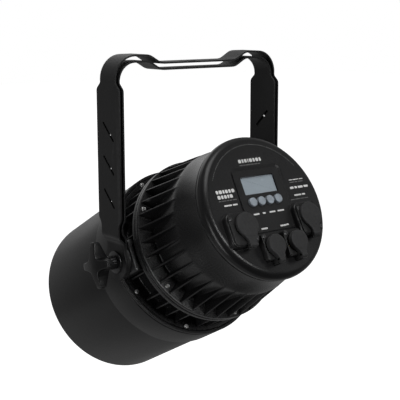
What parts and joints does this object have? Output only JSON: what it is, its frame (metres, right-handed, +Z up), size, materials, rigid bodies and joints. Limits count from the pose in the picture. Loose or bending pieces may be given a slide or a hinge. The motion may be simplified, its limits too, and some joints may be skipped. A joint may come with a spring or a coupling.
{
  "type": "par can light",
  "caption": "Weatherproof LED par can on a double hanging yoke, with finned housing, long front tube, rear control panel and capped sockets.",
  "frame": {"origin": "centre of the clamp hole on the top face of the outer bracket", "axes": "+Z up, X along the tilt axis, the beam leaves towards -Y and down, the control panel faces +Y"},
  "size_m": [0.2948, 0.4036, 0.4288],
  "materials": {
    "yoke_paint": "satin black powder coat on sheet steel",
    "tube_paint": "satin black powder coat on rolled sheet",
    "casting_paint": "satin black powder coat on aluminium die casting",
    "knob_plastic": "black glass-filled nylon",
    "black_plastic": "black moulded plastic",
    "socket_plastic": "dark grey moulded plastic",
    "rubber": "dark grey moulded rubber",
    "zinc_steel": "zinc plated steel",
    "front_glass": "clear tempered glass",
    "lens_acrylic": "clear moulded acrylic",
    "white_board": "white solder mask",
    "green_board": "green solder mask",
    "supply_case": "folded plain sheet",
    "display": "grey-blue display, switched off",
    "overlay": "dark printed polyester film",
    "button_rubber": "grey-blue silicone"
  },
  "bodies": {
    "outer_yoke": {"outer_bracket": "yoke_paint"},
    "inner_yoke": {"inner_bracket": "yoke_paint"},
    "head": {"front_tube": "tube_paint", "collar": "tube_paint", "front_housing": "casting_paint", "rear_housing": "casting_paint", "rear_cap": "casting_paint", "glass_ring": "tube_paint", "flange_gasket": "rubber", "cap_gasket": "rubber", "glass_gasket": "rubber", "front_glass": "front_glass", "lens_plate": "black_plastic", "led_board": "white_board", "power_supply": "supply_case", "driver_board": "green_board", "display_module": "display", "control_overlay": "overlay", "pivot_stud_near": "zinc_steel", "pivot_pad_near": "rubber", "pivot_stud_far": "zinc_steel", "pivot_pad_far": "rubber", "lens_1": "lens_acrylic", "lens_2": "lens_acrylic", "lens_3": "lens_acrylic", "lens_4": "lens_acrylic", "lens_5": "lens_acrylic", "lens_6": "lens_acrylic", "lens_7": "lens_acrylic", "lens_8": "lens_acrylic", "lens_9": "lens_acrylic", "lens_10": "lens_acrylic", "lens_11": "lens_acrylic", "lens_12": "lens_acrylic", "power_out_flange": "black_plastic", "power_out_socket": "socket_plastic", "power_in_flange": "black_plastic", "power_in_socket": "socket_plastic", "dmx_in_flange": "black_plastic", "dmx_in_socket": "socket_plastic", "dmx_out_flange": "black_plastic", "dmx_out_socket": "socket_plastic", "ring_screw_1": "zinc_steel", "ring_screw_2": "zinc_steel", "ring_screw_3": "zinc_steel", "ring_screw_4": "zinc_steel", "ring_screw_5": "zinc_steel", "ring_screw_6": "zinc_steel"},
    "clamp_washer_near": {"washer_near": "zinc_steel"},
    "clamp_knob_near": {"knob_near": "knob_plastic"},
    "clamp_washer_far": {"washer_far": "zinc_steel"},
    "clamp_knob_far": {"knob_far": "knob_plastic"},
    "key_1": {"button_1": "button_rubber"},
    "key_2": {"button_2": "button_rubber"},
    "key_3": {"button_3": "button_rubber"},
    "key_4": {"button_4": "button_rubber"},
    "power_out_lid": {"power_out_cap": "rubber"},
    "power_in_lid": {"power_in_cap": "rubber"},
    "dmx_in_lid": {"dmx_in_cap": "rubber"},
    "dmx_out_lid": {"dmx_out_cap": "rubber"}
  },
  "joints": [
    {"name": "head_tilt", "type": "hinge", "parent": "outer_yoke", "child": "head", "pos_m": [0, 0, -0.2328], "axis": [1, 0, 0], "range_deg": [-115, 90]},
    {"name": "inner_yoke_swing", "type": "hinge", "parent": "outer_yoke", "child": "inner_yoke", "pos_m": [0, 0, -0.2328], "axis": [1, 0, 0], "range_deg": [-100, 100]},
    {"name": "knob_near_travel", "type": "slide", "parent": "head", "child": "clamp_washer_near", "axis": [1, 0, 0], "range_m": [0, 0.0025]},
    {"name": "knob_near_turn", "type": "hinge", "parent": "clamp_washer_near", "child": "clamp_knob_near", "pos_m": [0, 0, -0.2328], "axis": [1, 0, 0], "range_deg": [0, 720]},
    {"name": "knob_far_travel", "type": "slide", "parent": "head", "child": "clamp_washer_far", "axis": [-1, 0, 0], "range_m": [0, 0.0025]},
    {"name": "knob_far_turn", "type": "hinge", "parent": "clamp_washer_far", "child": "clamp_knob_far", "pos_m": [0, 0, -0.2328], "axis": [-1, 0, 0], "range_deg": [0, 720]},
    {"name": "button_1_press", "type": "slide", "parent": "head", "child": "key_1", "axis": [0, -0.8759, -0.4825], "range_m": [0, 0.0008], "stiffness_N_per_m": 800},
    {"name": "button_2_press", "type": "slide", "parent": "head", "child": "key_2", "axis": [0, -0.8759, -0.4825], "range_m": [0, 0.0008], "stiffness_N_per_m": 800},
    {"name": "button_3_press", "type": "slide", "parent": "head", "child": "key_3", "axis": [0, -0.8759, -0.4825], "range_m": [0, 0.0008], "stiffness_N_per_m": 800},
    {"name": "button_4_press", "type": "slide", "parent": "head", "child": "key_4", "axis": [0, -0.8759, -0.4825], "range_m": [0, 0.0008], "stiffness_N_per_m": 800},
    {"name": "power_out_cap_open", "type": "hinge", "parent": "head", "child": "power_out_lid", "pos_m": [0.0495, 0.16857, -0.19114], "axis": [-1, 0, 0], "range_deg": [0, 120]},
    {"name": "power_in_cap_open", "type": "hinge", "parent": "head", "child": "power_in_lid", "pos_m": [-0.0495, 0.16857, -0.19114], "axis": [-1, 0, 0], "range_deg": [0, 120]},
    {"name": "dmx_in_cap_open", "type": "hinge", "parent": "head", "child": "dmx_in_lid", "pos_m": [0.0163, 0.17885, -0.21083], "axis": [-1, 0, 0], "range_deg": [0, 120]},
    {"name": "dmx_out_cap_open", "type": "hinge", "parent": "head", "child": "dmx_out_lid", "pos_m": [-0.0163, 0.17885, -0.21083], "axis": [-1, 0, 0], "range_deg": [0, 120]}
  ],
  "couplings": [
    {"joint": "knob_near_travel", "follows": "knob_near_turn", "m_per_rad": 0.00019894},
    {"joint": "knob_far_travel", "follows": "knob_far_turn", "m_per_rad": 0.00019894}
  ]
}
